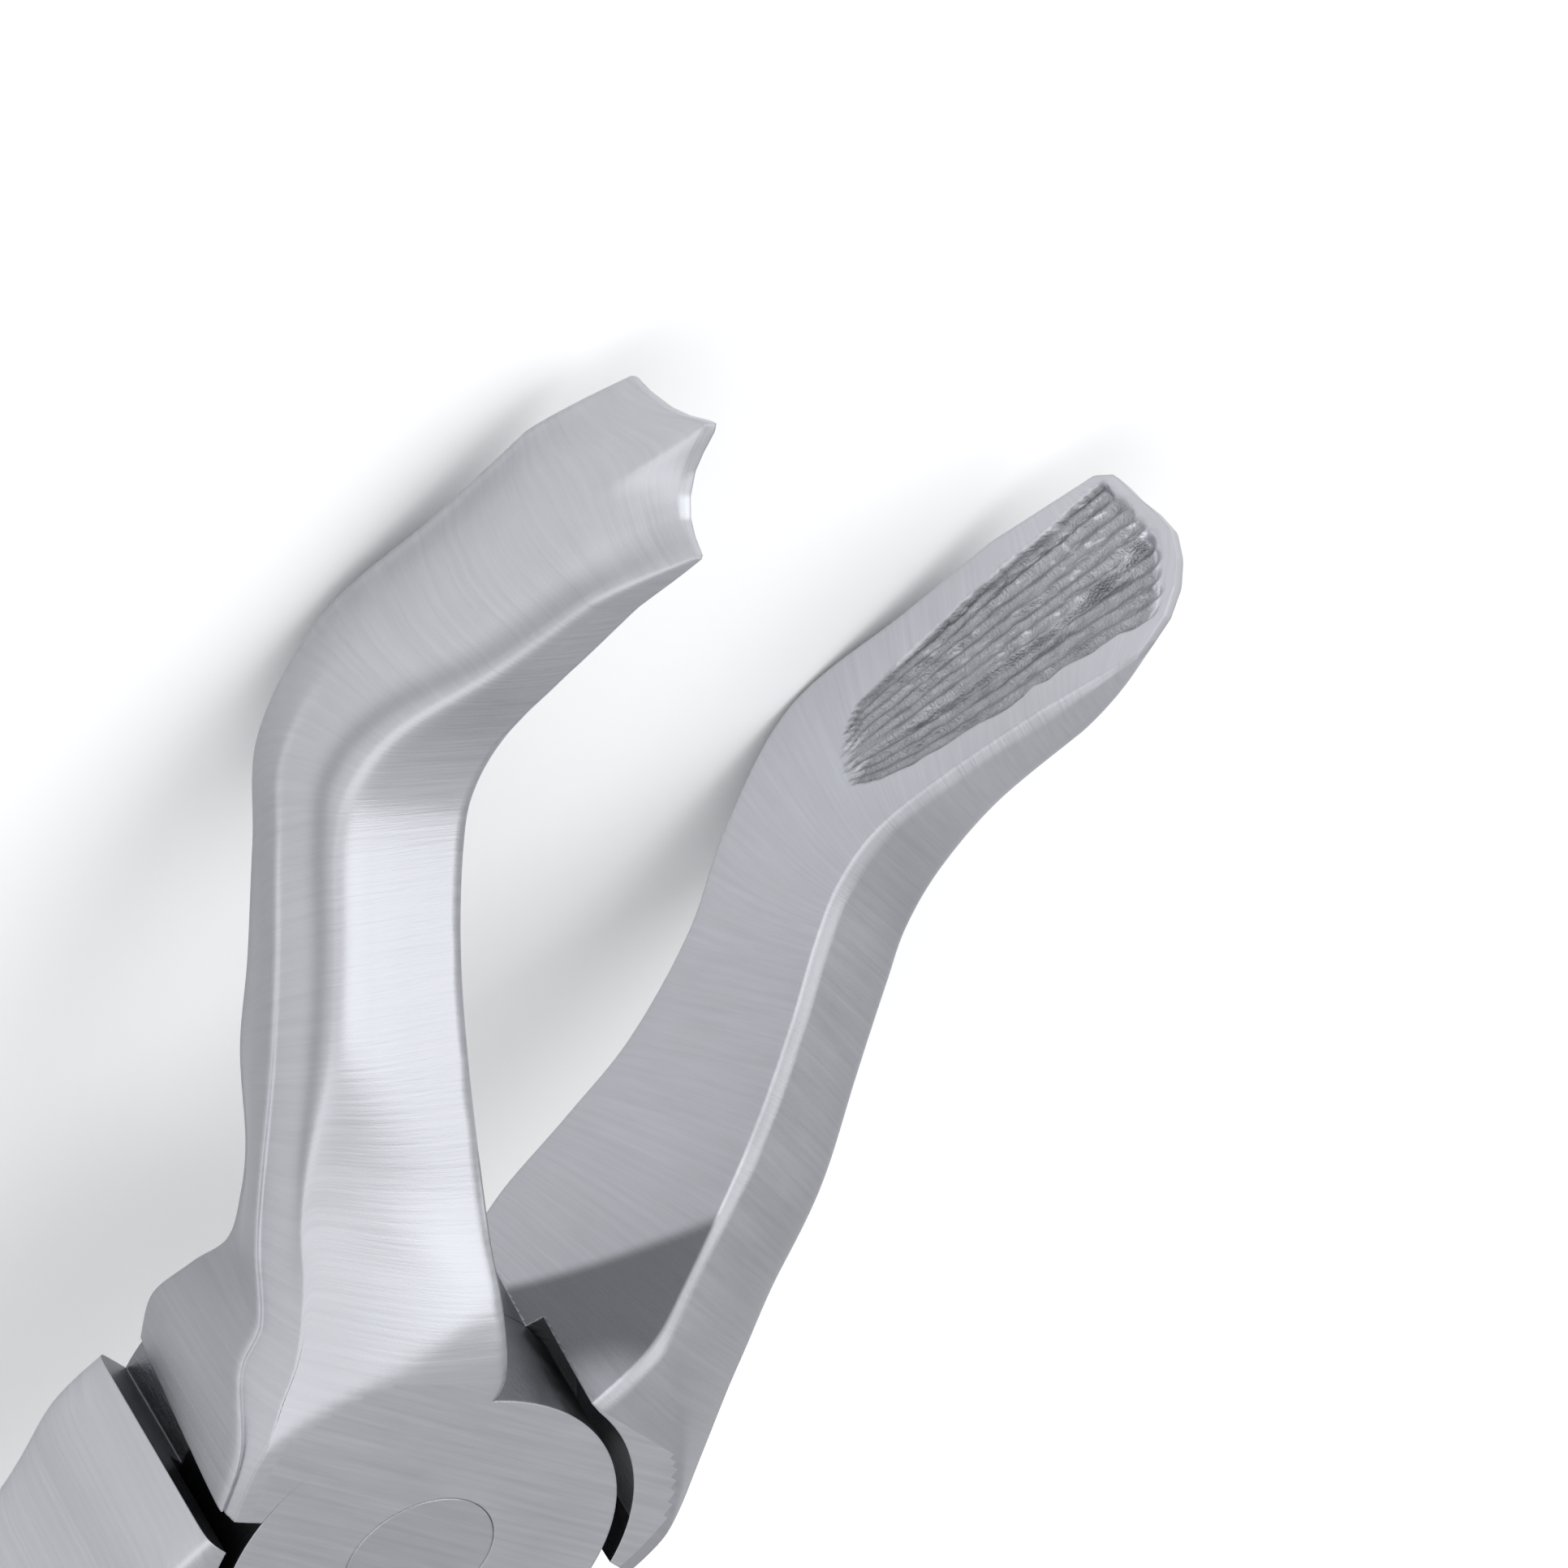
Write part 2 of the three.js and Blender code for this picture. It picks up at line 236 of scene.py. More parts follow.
GOUGE_DEPTH = 0.24
FLOOR_LIFT = 0.09
CHIP_DEPTH = 0.06
LEAST_DEPTH = 0.03

# Painted shade: the darker triangle low on the inner face, which stands in for the dark reflection of the
# other half. A point of its edge, then the edge's y and length per unit of z.
SHADE_LINE_Y = 8.3
SHADE_LINE_Z = -6.65
SHADE_LINE_SLOPE = 3.17
SHADE_LINE_LENGTH = 3.32


def beak_place(y, z, shortened):
    """Distance along the beak from its elbow, stretched by shortened, and distance across it."""
    along = (y - ELBOW_Y) * ALONG[0] + (z - ELBOW_Z) * ALONG[1]
    across = (y - ELBOW_Y) * ACROSS[0] + (z - ELBOW_Z) * ACROSS[1]
    return along * np.where(along > 0, shortened, 1.0), across


def lane_depth(along, share, ridge):
    """Depth of the two lanes, which grows across each lane and along the beak."""
    low_lane = 0.16 + 0.42 * (share / np.maximum(ridge, 0.1)) ** 1.4
    high_lane = 0.10 + 0.26 * (share - ridge) / (1 - ridge)
    blend = smoothstep(share - ridge, -0.035, 0.0)
    floor = low_lane * (1 - blend) + high_lane * blend
    return floor * (0.12 + 0.88 * smoothstep(along, HOLLOW_START, 5.5))


def hollow_depth(y, z, shortened):
    """The gouged hollow in the inner face: its depth, how much of a point lies in it, and the painted shade
    and highlights over it.

    Two lanes of gouges run along the beak, one on each side of a ridge, and stop at a steep end wall.
    """
    along, across = beak_place(y, z, shortened)
    low = along_table(HOLLOW_LOW, along)
    high = along_table(HOLLOW_HIGH, along)
    ridge = along_table(HOLLOW_RIDGE, along)
    share = np.clip((across - low) / (high - low), 0, 1)
    upper = share > ridge
    gouge = share * GOUGES + 0.22 * smooth_noise(along * 0.22, share * 3, seed=23)
    number = np.floor(gouge)
    phase = gouge - number
    scoop = 1 - (2 * phase - 1) ** 2
    start = HOLLOW_START + 0.55 * smooth_noise(number * 1.37, 0.5 + 0 * number, seed=11)

    ragged = 0.10 * smooth_noise(along * 1.6, across * 0.8, seed=3)
    from_low = across - low + ragged
    to_high = high - across + 0.4 * ragged
    from_start = along - start - 0.8 * (1 - scoop)
    to_end = along_table(HOLLOW_END, across) - along + 1.3 * ragged
    inside = smoothstep(from_low, 0.0, 0.2) * smoothstep(to_high, 0.0, 0.12)
    inside = inside * smoothstep(from_start, 0.0, 0.5)
    inside = inside * smoothstep(to_end, 0.0, np.where(upper, 0.3, 0.75))

    uneven = 0.8 + 0.3 * smooth_noise(along * 0.9, number * 1.7, seed=31)
    chips = CHIP_DEPTH * smooth_noise(along * 2.6, across * 6.0, seed=41)
    depth = lane_depth(along, share, ridge) + GOUGE_DEPTH * scoop * uneven - FLOOR_LIFT + chips

    # Painted shade in the creases between gouges and as a dark line along the high edge, whose wall lies in
    # shadow; a painted highlight on the steep end wall; painted glints on bright flecks.
    edge_line = 1 - smoothstep(to_high, 0.10, 0.30)
    end_wall = np.where(upper, 0.0, 1 - smoothstep(to_end, 0.45, 0.75))
    flecks = smoothstep(smooth_noise(along * 3.2, across * 8.0, seed=53), 0.55, 0.8)
    flecks = flecks * smoothstep(along, 1.0, 5.0)
    flecks = flecks * np.where(upper, 1.0, 0.35)
    shade = 0.5 * (1 - scoop) ** 4 + 0.8 * edge_line - 1.1 * flecks
    shade = (1 - end_wall) * shade - 1.7 * end_wall
    # Less of the end wall counts as hollow, so the hollow's painted shade lifts there under its painted
    # highlight.
    return np.clip(depth, LEAST_DEPTH, None) * inside, inside * (1 - 0.8 * end_wall), shade * inside


def outer_profile(row, depth, bulge, crown):
    """Outside of one section, from the front edge round to the back face, as distances outward and back.

    With bulge 0 the crest is a ridge above a flat flank, with bulge 1 it is a broad round back. With
    crown 0 the front is flat, with crown 1 it curves over softly into the valley.
    """
    valley_out, valley_deep, crest_out, crest_deep, back_out = row
    valley = valley_deep * depth
    crest = crest_deep * depth
    back = depth - 0.75
    flat = np.array([
        [0.3 * valley_out, 0.0],
        [0.7 * valley_out, 0.0],
        [valley_out - 0.35, 0.03],
        [valley_out - 0.1, 0.12],
        [valley_out - 0.02, 0.1 + 0.5 * valley],
    ])
    curved = np.array([
        [0.3 * valley_out, 0.0],
        [0.6 * valley_out, 0.02 * valley],
        [0.84 * valley_out, 0.09 * valley],
        [0.945 * valley_out, 0.27 * valley],
        [0.99 * valley_out, 0.58 * valley],
    ])
    flank = np.array([
        [valley_out + 0.3 * (crest_out - valley_out), valley + 0.32 * (crest - valley)],
        [crest_out - 0.14, crest - 0.18],
        [crest_out, crest + 0.15],
        [0.62 * crest_out + 0.38 * back_out, crest + 0.42 * (depth - crest)],
        [back_out + 0.04, back],
    ])
    t = np.array([0.18, 0.4, 0.6, 0.8, 1.0])
    swell = crest_out - 0.5 * (valley_out + back_out)
    broad = np.stack([
        valley_out + (back_out - valley_out) * t + swell * np.sin(math.pi * t) ** 0.8,
        valley + (back - valley) * t,
    ], 1)
    knots = np.vstack([
        flat * (1 - crown) + curved * crown,
        [valley_out + 0.03, valley],
        flank * (1 - bulge) + broad * bulge,
        [back_out - 0.14, depth - 0.3],
        [back_out - 0.5, depth - 0.07],
        [back_out - 1.0, depth],
    ])
    return rows_at(knots, np.linspace(0, len(knots) - 1, OUTER_POINTS))


def soft_lowest(a, b, softness):
    """The lower of two heights, with a rounded change between them."""
    low = np.minimum(a, b)
    return low - softness * np.log1p(np.exp(-np.abs(a - b) / softness))


def section_outline(section, depth, run, ear_trim):
    """One section's points, from the back of the inner face round to the back, as distances out and back."""
    y = section[0]
    trim = 1 - ear_trim * (1 - smoothstep(y, 7.0, 12.0))
    profile = section[5:] * np.array([trim, 1.0, trim, 1.0, trim])
    bulge = smoothstep(y, 23, 29)
    crown = smoothstep(y, 8, 13)
    outer = outer_profile(profile, depth, bulge, crown)
    wide = EDGE_WIDTH * (1 - 0.6 * run) * (1 + 0.16 * smooth_noise(y * 1.1, 0.5, seed=61))
    deep = EDGE_DEPTH * (1 - 0.6 * run)
    inner = np.stack([np.zeros(INNER_POINTS), np.linspace(depth - 0.1, deep, INNER_POINTS)], 1)
    edge = np.array([[0.3 * wide, 0.62 * deep], [0.65 * wide, 0.28 * deep], [wide, 0.0]])
    front_flat = np.linspace([wide, 0.0], outer[0], FLAT_POINTS + 2)[1:-1]
    back_flat = np.linspace(outer[-1], [0.1, depth], FLAT_POINTS + 2)[1:]
    return np.vstack([inner, edge, front_flat, outer, back_flat])


def tip_run(tip, share, run):
    """How far points run on past the last row: softened at first, and the tip's own outline at its end."""
    tip_share, tip_reach = np.array(tip).T
    shifts = np.linspace(-0.22, 0.22, 9)
    soft = np.mean([np.interp(share + shift, tip_share, tip_reach) for shift in shifts], axis=0)
    sharp = np.interp(share, tip_share, tip_reach)
    return run * (soft * (1 - run**2) + sharp * run**2)


def inner_painted_light(y, z, shade):
    """Painted shade on a triangle low on the inner face for the dark reflection of the other half, a painted
    highlight on the face around it, and the hollow's own painted shade and highlights.
    """
    past_line = (SHADE_LINE_SLOPE * (z - SHADE_LINE_Z) - (y - SHADE_LINE_Y)) / SHADE_LINE_LENGTH
    from_corner = np.hypot(y - 8.0, z)
    painted_light_and_roughness = smoothstep(past_line, -0.2, 0.5) * smoothstep(from_corner, 0.6, 3.2)
    return painted_light_and_roughness - INNER_PAINTED_HIGHLIGHT * (1 - painted_light_and_roughness) + shade


def outer_painted_shade(section, depth, outline, run, is_front):
    """Painted shade on the flank behind the crest for the shadowed floor it reflects, in the groove of the
    valley, and on the rear half's front, which catches less light; each also a little rougher.
    """
    y = section[0]
    out, deep = outline.T
    valley_out, valley_share, _, crest_share, _ = section[5:]
    crest = crest_share * depth
    flank = smoothstep(deep, crest - 0.1, crest + 0.35) * (1 - smoothstep(y, 22, 27))
    groove = np.exp(-(((deep - valley_share * depth) / 0.5) ** 2)) * (out > 0.7 * valley_out)
    groove = groove * smoothstep(y, 9, 15) * (1 - 0.8 * run)
    front_painted_shade = 0.0
    if not is_front:
        front_painted_shade = REAR_FRONT_PAINTED_SHADE * (1 - smoothstep(y, 24, 31)) * (deep < crest)
    return np.maximum(np.maximum(FLANK_PAINTED_SHADE * flank, GROOVE_PAINTED_SHADE * groove), front_painted_shade)


def shank_ring(section, run, is_front, tip, ear_trim, shortened):
    """One ring of the bar, with how much of each point lies in the hollow and its painted light: the painted
    shade or highlight in its tone, with its roughness.

    Run goes from 0 at the last row to 1 at the end of the tip, where the beak thins to an edge.
    """
    front = np.array([section[0], min(section[1], 0.0)])
    back = np.array([section[2], section[3]])
    gap = section[4]
    depth = np.hypot(*(back - front))
    outline = section_outline(section, depth, run, ear_trim)
    is_inner = np.arange(len(outline)) < INNER_POINTS
    share = np.clip(outline[:, 1] / depth, 0, 1)
    out = outline[:, 0]
    reach = 0 * share
    if run > 0:
        thin = 1 - 0.87 * run**1.3
        out = np.where(is_inner, out, 0.06 * run**2 + out * thin)
        reach = tip_run(tip, share, run)
    line = front[None, :] + (back - front)[None, :] * share[:, None]
    y = line[:, 0] + math.cos(BEAK_RISE) * reach
    z = line[:, 1] + math.sin(BEAK_RISE) * reach

    sunk, inside, shade = hollow_depth(y, z, shortened)
    limit = 0.62 * np.interp(share, outline[OUTSIDE, 1] / depth, out[OUTSIDE])
    sunk = np.minimum(sunk, np.maximum(limit, 0.0))
    out = out + np.where(is_inner, sunk, 0.0)
    x = gap - 0.42 * run * min(gap, 1.0) + out

    cone = -CONE_SLOPE * (np.hypot(x, y) - CONE_RADIUS) + 0.05 * np.maximum(y - 11.0, 0.0) ** 2
    softness = 0.07 + 0.45 * smoothstep(y, 10.5, 14.0)
    z = np.where(is_inner, z, soft_lowest(z, cone, softness))
    hollow = np.where(is_inner, inside, 0.0)
    # Painted light: painted shade and highlights on the inner face, painted shade on the outside, each also
    # setting roughness.
    painted_light_and_roughness = np.where(is_inner, inner_painted_light(y, z, shade), outer_painted_shade(section, depth, outline, run, is_front))
    return np.stack([x, y, z], 1), hollow, painted_light_and_roughness


def shank_rings(is_front, tip, ear_trim, start_row, shortened):
    """Rings of points from the joint to the tip, with the masks that the steel's look is worked out from: the
    hollow, and the painted shade and highlights with their roughness.
    """
    rows = np.array(SHANK_ROWS, float)
    if is_front:
        changes = np.array(FRONT_HALF_ROWS)
        rows[:, EDGE_HEIGHTS] += changes[:, :2]
        rows[:, VALLEY_AND_CREST] = changes[:, 2:]
    places = np.linspace(start_row, len(rows) - 1, int(SHANK_LENGTH / STATION_STEP))
    sections = rows_at(rows, places)
    runs = [0.0] * len(sections) + list(np.linspace(0, 1, TIP_RINGS + 1)[1:])
    sections = np.vstack([sections, np.repeat(sections[-1:], TIP_RINGS, axis=0)])
    rings = []
    hollows = []
    painted_light_rings = []
    for section, run in zip(sections, runs):
        ring, hollow, painted_light_and_roughness = shank_ring(section, run, is_front, tip, ear_trim, shortened)
        rings.append(ring)
        hollows.append(hollow)
        painted_light_rings.append(painted_light_and_roughness)
    return np.array(rings), {"hollow": np.array(hollows), "painted_light_and_roughness": np.array(painted_light_rings)}


# ---- handle ----

# One section per row: y, inner and outer distance from the middle plane, top z, bottom z.
HANDLE_ROWS = [
    [-3.5, 0.3, 8.4, 0.0, -9.5],
    [-6.0, 0.3, 8.2, 0.0, -9.5],
    [-10.0, 0.4, 6.7, -0.2, -9.3],
    [-17.0, 1.0, 6.3, -0.7, -8.9],
    [-30.0, 3.2, 9.4, -1.0, -9.4],
    [-50.0, 5.4, 12.8, -1.9, -10.9],
    [-75.0, 6.0, 13.8, -3.9, -13.1],
    [-100.0, 5.2, 12.6, -7.0, -15.9],
    [-117.0, 4.4, 11.4, -9.9, -18.5],
    [-126.0, 4.3, 11.2, -11.6, -19.7],
]
HANDLE_END_LENGTH = 2.4
GRIP_START = -36.0
GRIP_END = -116.0
GRIP_PITCH = 1.9
GRIP_DEPTH = 0.3
GRIP_TURN = 5.0
GRIP_FADE = 3
HANDLE_POINTS = 160
HANDLE_STEP = 0.24


def rounded_section(half_width, half_height, square):
    """Points of an oval that gets squarer as square goes from 1 to 0."""
    angle = np.linspace(0, 2 * math.pi, HANDLE_POINTS, endpoint=False) + math.pi / HANDLE_POINTS
    c = np.cos(angle)
    s = np.sin(angle)
    x = half_width * np.sign(c) * np.abs(c) ** square
    z = half_height * np.sign(s) * np.abs(s) ** square
    return x, z


def handle_rings():
    """Rings from the joint to the handle's end, with the crossed grip grooves pressed into the outer side."""
    rows = np.asarray(HANDLE_ROWS, float)
    heights = np.arange(rows[0, 0], rows[-1, 0], -HANDLE_STEP)
    sections = rows_at(rows, np.interp(-heights, -rows[:, 0], np.arange(len(rows))))
    ends = []
    last = sections[-1]
    middle = (last[1] + last[2]) / 2
    height = (last[3] + last[4]) / 2
    for angle in np.radians([10, 20, 30, 40, 50, 60, 70, 79]):
        shrink = math.cos(angle)
        ends.append([
            last[0] - HANDLE_END_LENGTH * math.sin(angle),
            middle - (middle - last[1]) * shrink,
            middle + (last[2] - middle) * shrink,
            height + (last[3] - height) * shrink,
            height - (height - last[4]) * shrink,
        ])
    sections = np.vstack([sections, ends])
    rings = []
    for y, inner, outer, top, bottom in sections:
        square = 0.12 + 0.4 * smoothstep(-y, 8, 20)
        x, z = rounded_section((outer - inner) / 2, (top - bottom) / 2, square)
        around = np.arctan2(z, x) * GRIP_TURN
        begun = smoothstep(-y, -GRIP_START, -GRIP_START + GRIP_FADE)
        zone = begun * (1 - smoothstep(-y, -GRIP_END - GRIP_FADE, -GRIP_END))
        facing_out = smoothstep(-x / ((outer - inner) / 2), -0.15, 0.2)
        first = np.abs(np.sin(math.pi * (y + around) / GRIP_PITCH))
        second = np.abs(np.sin(math.pi * (y - around) / GRIP_PITCH))
        groove = GRIP_DEPTH * zone * facing_out * (1 - np.clip(np.minimum(first, second) * 2.2, 0, 1))
        shrink = 1 - groove / np.maximum(np.hypot(x, z), 1.0)
        centre = -(inner + outer) / 2
        rings.append(np.stack([centre + x * shrink, np.full_like(x, y), (top + bottom) / 2 + z * shrink], 1))
    return np.array(rings)


# ---- meshes ----


def mesh_from_rings(name, rings, masks):
    """Closed mesh through rings, with flat ends, that also carries its place along and around the bar."""
    stations, count, _ = rings.shape
    middle = rings.mean(axis=1)
    steps = np.linalg.norm(np.diff(middle, axis=0), axis=1)
    along = np.concatenate([[0.0], np.cumsum(steps)])
    sides = np.linalg.norm(np.roll(rings, -1, axis=1) - rings, axis=2).mean(axis=0)
    around = np.concatenate([[0.0], np.cumsum(sides)[:-1]])
    values = dict(masks)
    values["along"] = np.repeat(along[:, None], count, axis=1)
    values["around"] = np.repeat(around[None, :], stations, axis=0)

    faces = []
    for s in range(stations - 1):
        for i in range(count):
            j = (i + 1) % count
            faces.append((s * count + i, s * count + j, (s + 1) * count + j, (s + 1) * count + i))
    faces.append(tuple(reversed(range(count))))
    faces.append(tuple(range((stations - 1) * count, stations * count)))
    mesh = bpy.data.meshes.new(name)
    mesh.from_pydata(rings.reshape(-1, 3).tolist(), [], faces)
    for key, value in values.items():
        layer = mesh.attributes.new(key, "FLOAT", "POINT")
        layer.data.foreach_set("value", value.reshape(-1).astype(np.float32))
    bm = bmesh.new()
    bm.from_mesh(mesh)
    bmesh.ops.triangulate(bm, faces=[f for f in bm.faces if len(f.verts) > 4])
    bmesh.ops.recalc_face_normals(bm, faces=bm.faces)
    bm.to_mesh(mesh)
    bm.free()
    obj = bpy.data.objects.new(name, mesh)
    bpy.context.scene.collection.objects.link(obj)
    return obj


def lathe(name, profile, segments=192):
    """Closed solid of revolution about the pivot, from (radius, z) pairs that start and end on the axis."""
    bm = bmesh.new()
    rings = []
    for radius, z in profile:
        if radius == 0:
            rings.append([bm.verts.new((0, 0, z))])
            continue
        ring = []
        for i in range(segments):
            a = 2 * math.pi * i / segments
            ring.append(bm.verts.new((radius * math.cos(a), radius * math.sin(a), z)))
        rings.append(ring)
    for lower, upper in zip(rings, rings[1:]):
        for i in range(segments):
            j = (i + 1) % segments
            corners = [lower[i % len(lower)], lower[j % len(lower)]]
            corners += [upper[j % len(upper)], upper[i % len(upper)]]
            bm.faces.new(list(dict.fromkeys(corners)))
    bmesh.ops.recalc_face_normals(bm, faces=bm.faces)
    mesh = bpy.data.meshes.new(name)
    bm.to_mesh(mesh)
    bm.free()
    obj = bpy.data.objects.new(name, mesh)
    bpy.context.scene.collection.objects.link(obj)
    return obj


def combine(target, other, operation):
    """Joins or cuts target with other, and removes other."""
    modifier = target.modifiers.new("combine", "BOOLEAN")
    modifier.operation = operation
    modifier.solver = "MANIFOLD"
    modifier.object = other
    graph = bpy.context.evaluated_depsgraph_get()
    mesh = bpy.data.meshes.new_from_object(target.evaluated_get(graph))
    target.modifiers.clear()
    old = target.data
    target.data = mesh
    bpy.data.meshes.remove(old)
    bpy.data.objects.remove(other)


def disc(radius, bottom, top):
    """Flat round plate about the pivot."""
    return lathe("disc", [(0, bottom), (radius, bottom), (radius, top), (0, top)])


def rivet_profile(clearance, overrun):
    """Half outline of the rivet, grown by a clearance and an overrun where it stands for the bore."""
    head = RIVET_HEAD_RADIUS + clearance
    shaft = RIVET_SHAFT_RADIUS + clearance
    t = JOINT_THICKNESS
    return [
        (0, -t - overrun), (head, -t - overrun), (head, RIVET_RIM - t), (shaft, RIVET_HEAD_DEPTH - t),
        (shaft, -RIVET_HEAD_DEPTH), (head, -RIVET_RIM), (head, overrun), (0, overrun),
    ]


def face_values(mesh, name):
    """One vector per face: its centre or its normal."""
    values = np.zeros(len(mesh.polygons) * 3)
    mesh.polygons.foreach_get(name, values)
    return values.reshape(-1, 3)


# Where a half's faces are machine-cut with painted shade, in the recess deep in the gap with painted shadow,
# or ground flat, measured from the pivot.
WALL_FROM = 7.2
WALL_TO = 8.16
LAP_RADIUS = 12
HEEL_REACH = 4.6
PLATE_RADIUS = 10.5
DEEP_GAP_REACH = 5.4
NEAR = 0.02


def face_materials(mesh):
    """Which of a half's four materials each face gets, while the half is closed and about the origin."""
    satin_face, machined_shaded_face, shadow_painted_face, flat_face = range(4)
    centres = face_values(mesh, "center")
    normals = face_values(mesh, "normal")
    x, y, z = centres.T
    radius = np.hypot(x, y)
    level = np.abs(normals[:, 2])
    facing = np.abs(np.sum(centres[:, :2] * normals[:, :2], axis=1)) / np.maximum(radius, 0.1)
    at_wall = (radius > WALL_FROM) & (radius < WALL_TO) & (z > -JOINT_THICKNESS)
    wall = at_wall & (level < 0.4) & (facing > 0.93)
    lap = (level > 0.9) & (np.abs(z + JOINT_THICKNESS / 2) < 0.2) & (radius < LAP_RADIUS)
    ends = (np.abs(normals[:, 1]) > 0.97) & (np.abs(y) < HEEL_REACH)
    flat = (level > 0.999) & (radius < PLATE_RADIUS) & ((z > -NEAR) | (z < NEAR - JOINT_THICKNESS))
    deep_gap = (y <= DEEP_GAP_REACH) & (x > 0)
    index = np.full(len(mesh.polygons), satin_face, np.int32)
    # Walls, lap and ends inside the joint get the darker machine-cut steel, partly painted shade; walls deep
    # in the gap get the near-black painted shadow.
    index[ends | lap | (wall & ~deep_gap)] = machined_shaded_face
    index[wall & deep_gap] = shadow_painted_face
    index[flat] = flat_face
    return index


def finish_mesh(obj, materials, mirror, turn):
    """Gives the half its materials, then mirrors, turns and moves it into the frame."""
    mesh = obj.data
    mesh.materials.clear()
    for material in materials:
        mesh.materials.append(material)
    mesh.polygons.foreach_set("material_index", face_materials(mesh))
    if mirror:
        mesh.transform(Matrix.Diagonal((-1, 1, 1, 1)))
        mesh.flip_normals()
    mesh.transform(Matrix.Rotation(turn, 4, "Z"))
    mesh.transform(Matrix.Translation(PIVOT) @ Matrix.Scale(MM, 4))
    mesh.shade_smooth()
    mesh.set_sharp_from_angle(angle=math.radians(38))
    mesh.update()


def make_half(name, plate_on_top, tip, ear_trim, start_row, shortened):
    """One half: its bar, its handle, its lobe, the recess for the other lobe, and the bore for the rivet."""
    middle = -JOINT_THICKNESS / 2
    if plate_on_top:
        own = (middle + LAP_GAP / 2, 0.0)
        other = (-JOINT_THICKNESS - 1, middle + LAP_GAP / 2)
    else:
        own = (-JOINT_THICKNESS, middle - LAP_GAP / 2)
        other = (middle - LAP_GAP / 2, 1.0)
    rings, masks = shank_rings(plate_on_top, tip, ear_trim, start_row, shortened)
    half = mesh_from_rings(name, rings, masks)
    combine(half, mesh_from_rings("handle", handle_rings(), {}), "UNION")
    recess = FRONT_RECESS_RADIUS if plate_on_top else REAR_RECESS_RADIUS
    combine(half, disc(recess, *other), "DIFFERENCE")
    combine(half, disc(LOBE_RADIUS, *own), "UNION")
    combine(half, lathe("bore", rivet_profile(RIVET_CLEARANCE, CUT_OVERRUN)), "DIFFERENCE")
    turn = OPEN_ANGLE if plate_on_top else -OPEN_ANGLE
    finish_mesh(half, [satin, machined_and_shaded, shadow_painted, faced], plate_on_top, turn)
    return half


# ---- materials ----


class Nodes:
    """Short way to add and join shader nodes."""

    def __init__(self, name):
        self.material = bpy.data.materials.new(name)
        self.material.use_nodes = True
        self.tree = self.material.node_tree
        self.tree.nodes.clear()

    def add(self, kind, **values):
        node = self.tree.nodes.new(kind)
        for key, value in values.items():
            if hasattr(node, key):
                setattr(node, key, value)
            else:
                node.inputs[key.replace("_", " ")].default_value = value
        return node

    def join(self, source, target):
        self.tree.links.new(source, target)


def noise_at(n, vector, scale, detail=4.0):
    """Noise with its own scale along each axis of the vector, in bumps per millimetre."""
    mapping = n.add("ShaderNodeMapping")
    mapping.inputs["Scale"].default_value = scale
    n.join(vector, mapping.inputs["Vector"])
    noise = n.add("ShaderNodeTexNoise", Scale=1.0, Detail=detail, Roughness=0.6)
    n.join(mapping.outputs["Vector"], noise.inputs["Vector"])
    return noise.outputs["Fac"]


def stretch(n, value, low, high):
    """Noise values from the middle of their range, spread over low to high."""
    spread = n.add("ShaderNodeMapRange", From_Min=0.3, From_Max=0.7, To_Min=low, To_Max=high)
    n.join(value, spread.inputs["Value"])
    return spread.outputs["Result"]


def times_plus(n, value, factor, addend):
    """value * factor + addend, where each is a socket or a number."""
    node = n.add("ShaderNodeMath", operation="MULTIPLY_ADD")
    for source, target in zip((value, factor, addend), node.inputs):
        if isinstance(source, (int, float)):
            target.default_value = source
        else:
            n.join(source, target)
    return node.outputs["Value"]


def times(n, a, b):
    """Product of two sockets."""
    node = n.add("ShaderNodeMath", operation="MULTIPLY")
    n.join(a, node.inputs[0])
    n.join(b, node.inputs[1])
    return node.outputs["Value"]


def object_place(n):
    """Place in the object, in millimetres."""
    place = n.add("ShaderNodeTexCoord")
    scaled = n.add("ShaderNodeVectorMath", operation="SCALE")
    scaled.inputs["Scale"].default_value = 1 / MM
    n.join(place.outputs["Object"], scaled.inputs[0])
    return scaled.outputs["Vector"]


def bar_place(n):
    """Place along and around the bar, in millimetres, a little askew, as the brush lines across it are."""
    along = n.add("ShaderNodeAttribute", attribute_name="along")
    around = n.add("ShaderNodeAttribute", attribute_name="around")
    askew = times_plus(n, around.outputs["Fac"], 0.14, along.outputs["Fac"])
    vector = n.add("ShaderNodeCombineXYZ")
    n.join(askew, vector.inputs["X"])
    n.join(around.outputs["Fac"], vector.inputs["Y"])
    return vector.outputs["Vector"]


